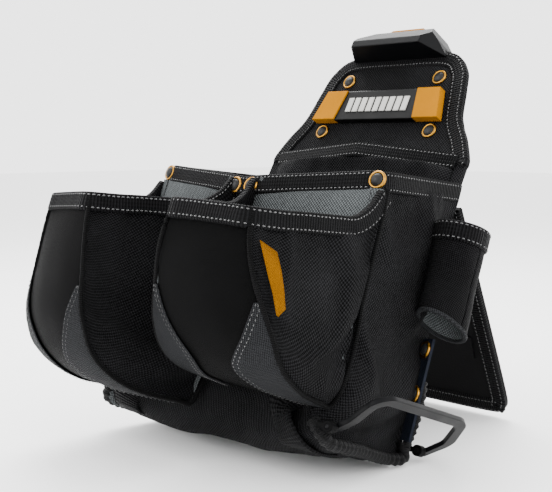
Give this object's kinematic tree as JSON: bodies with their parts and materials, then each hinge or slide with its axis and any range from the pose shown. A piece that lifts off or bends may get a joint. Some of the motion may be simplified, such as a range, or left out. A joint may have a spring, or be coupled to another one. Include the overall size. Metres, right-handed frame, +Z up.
{
  "type": "electrician tool pouch",
  "caption": "Soft belt pouch with a large bag, open fastener pockets, tool sleeve and hammer loop, with a sliding belt hub and a folding rear kickstand.",
  "frame": {"origin": "middle of the heel strip's underside, on the ground under the back panel's lower rear edge", "axes": "+Z up, -Y the way the pouch's front faces, +X to the right seen from the front; millimetres in the solids"},
  "size_m": [0.2764, 0.3314, 0.3177],
  "materials": {
    "cordura": "coarse woven black nylon",
    "webbing": "ribbed black webbing",
    "binding": "gathered black binding",
    "grey_lining": "plain woven grey lining",
    "grey_patch": "twill grey patch",
    "navy": "navy stiffened cloth",
    "board_black": "smooth black board cloth",
    "badge_dark": "satin",
    "badge_ribs": "matte",
    "yellow": "satin moulded",
    "hub_plastic": "satin moulded",
    "hinge_plastic": "matte moulded",
    "rubber_black": "matte",
    "rivet_gold": "polished",
    "rivet_dark": "satin",
    "steel": "brushed",
    "steel_dark": "black coated",
    "loop_steel": "satin grey coated"
  },
  "bodies": {
    "pouch": {"back_panel": "cordura", "badge_end_left": "yellow", "badge_end_right": "yellow", "badge_plate": "badge_dark", "badge_ribs": "badge_ribs", "bag_front": "cordura", "bag_gusset_left": "cordura", "bag_gusset_right": "cordura", "bag_lining": "grey_lining", "bag_rim": "webbing", "edge_rivet_caps": "rivet_dark", "edge_rivet_rings": "rivet_gold", "edge_strip": "navy", "flat_pocket_face": "cordura", "flat_pocket_rim": "webbing", "gathered_binding_left": "binding", "gathered_binding_right": "binding", "heel_strip": "rubber_black", "hinge_rod": "steel", "left_pocket_lining": "grey_lining", "left_pocket_patches": "grey_patch", "left_pocket_rim": "webbing", "left_pocket_shell": "cordura", "loop_ears": "steel_dark", "neck_binding": "webbing", "neck_rivet_caps": "rivet_dark", "neck_rivet_rings": "rivet_gold", "panel_knuckles": "hinge_plastic", "receiver_plate": "hub_plastic", "right_pocket_lining": "grey_lining", "right_pocket_patches": "grey_patch", "right_pocket_rim": "webbing", "right_pocket_shell": "cordura", "rim_rivet_caps": "rivet_dark", "rim_rivet_rings": "rivet_gold", "side_tag": "yellow", "sleeve_band": "webbing", "sleeve_tab": "webbing", "sleeve_tube": "cordura", "sole_straps": "webbing", "stay_strap": "webbing"},
    "hub": {"hub_hood": "hub_plastic", "belt_hook": "hub_plastic", "button_spring": "steel"},
    "button": {"release_button": "yellow"},
    "kickstand": {"kickstand_board": "board_black", "kickstand_binding": "webbing", "kickstand_patch": "board_black", "kickstand_knuckles": "hinge_plastic"},
    "loop": {"hammer_loop": "loop_steel"}
  },
  "joints": [
    {"name": "kickstand_hinge", "type": "hinge", "parent": "pouch", "child": "kickstand", "pos_m": [0, 0.07678, 0.18198], "axis": [1, 0, 0], "range_deg": [-43, 0], "deforming": ["stay_strap"]},
    {"name": "hub_lift", "type": "slide", "parent": "pouch", "child": "hub", "axis": [0, 0.5, 0.866], "range_m": [0, 0.062]},
    {"name": "button_press", "type": "slide", "parent": "hub", "child": "button", "axis": [0, -0.5, -0.866], "range_m": [0, 0.002], "stiffness_N_per_m": 600, "springref_m": -0.001, "deforming": ["button_spring"]},
    {"name": "loop_swing", "type": "hinge", "parent": "pouch", "child": "loop", "pos_m": [0.11, 0.00092, 0.01507], "axis": [0.1045, -0.9285, 0.3564], "range_deg": [0, 40]}
  ]
}
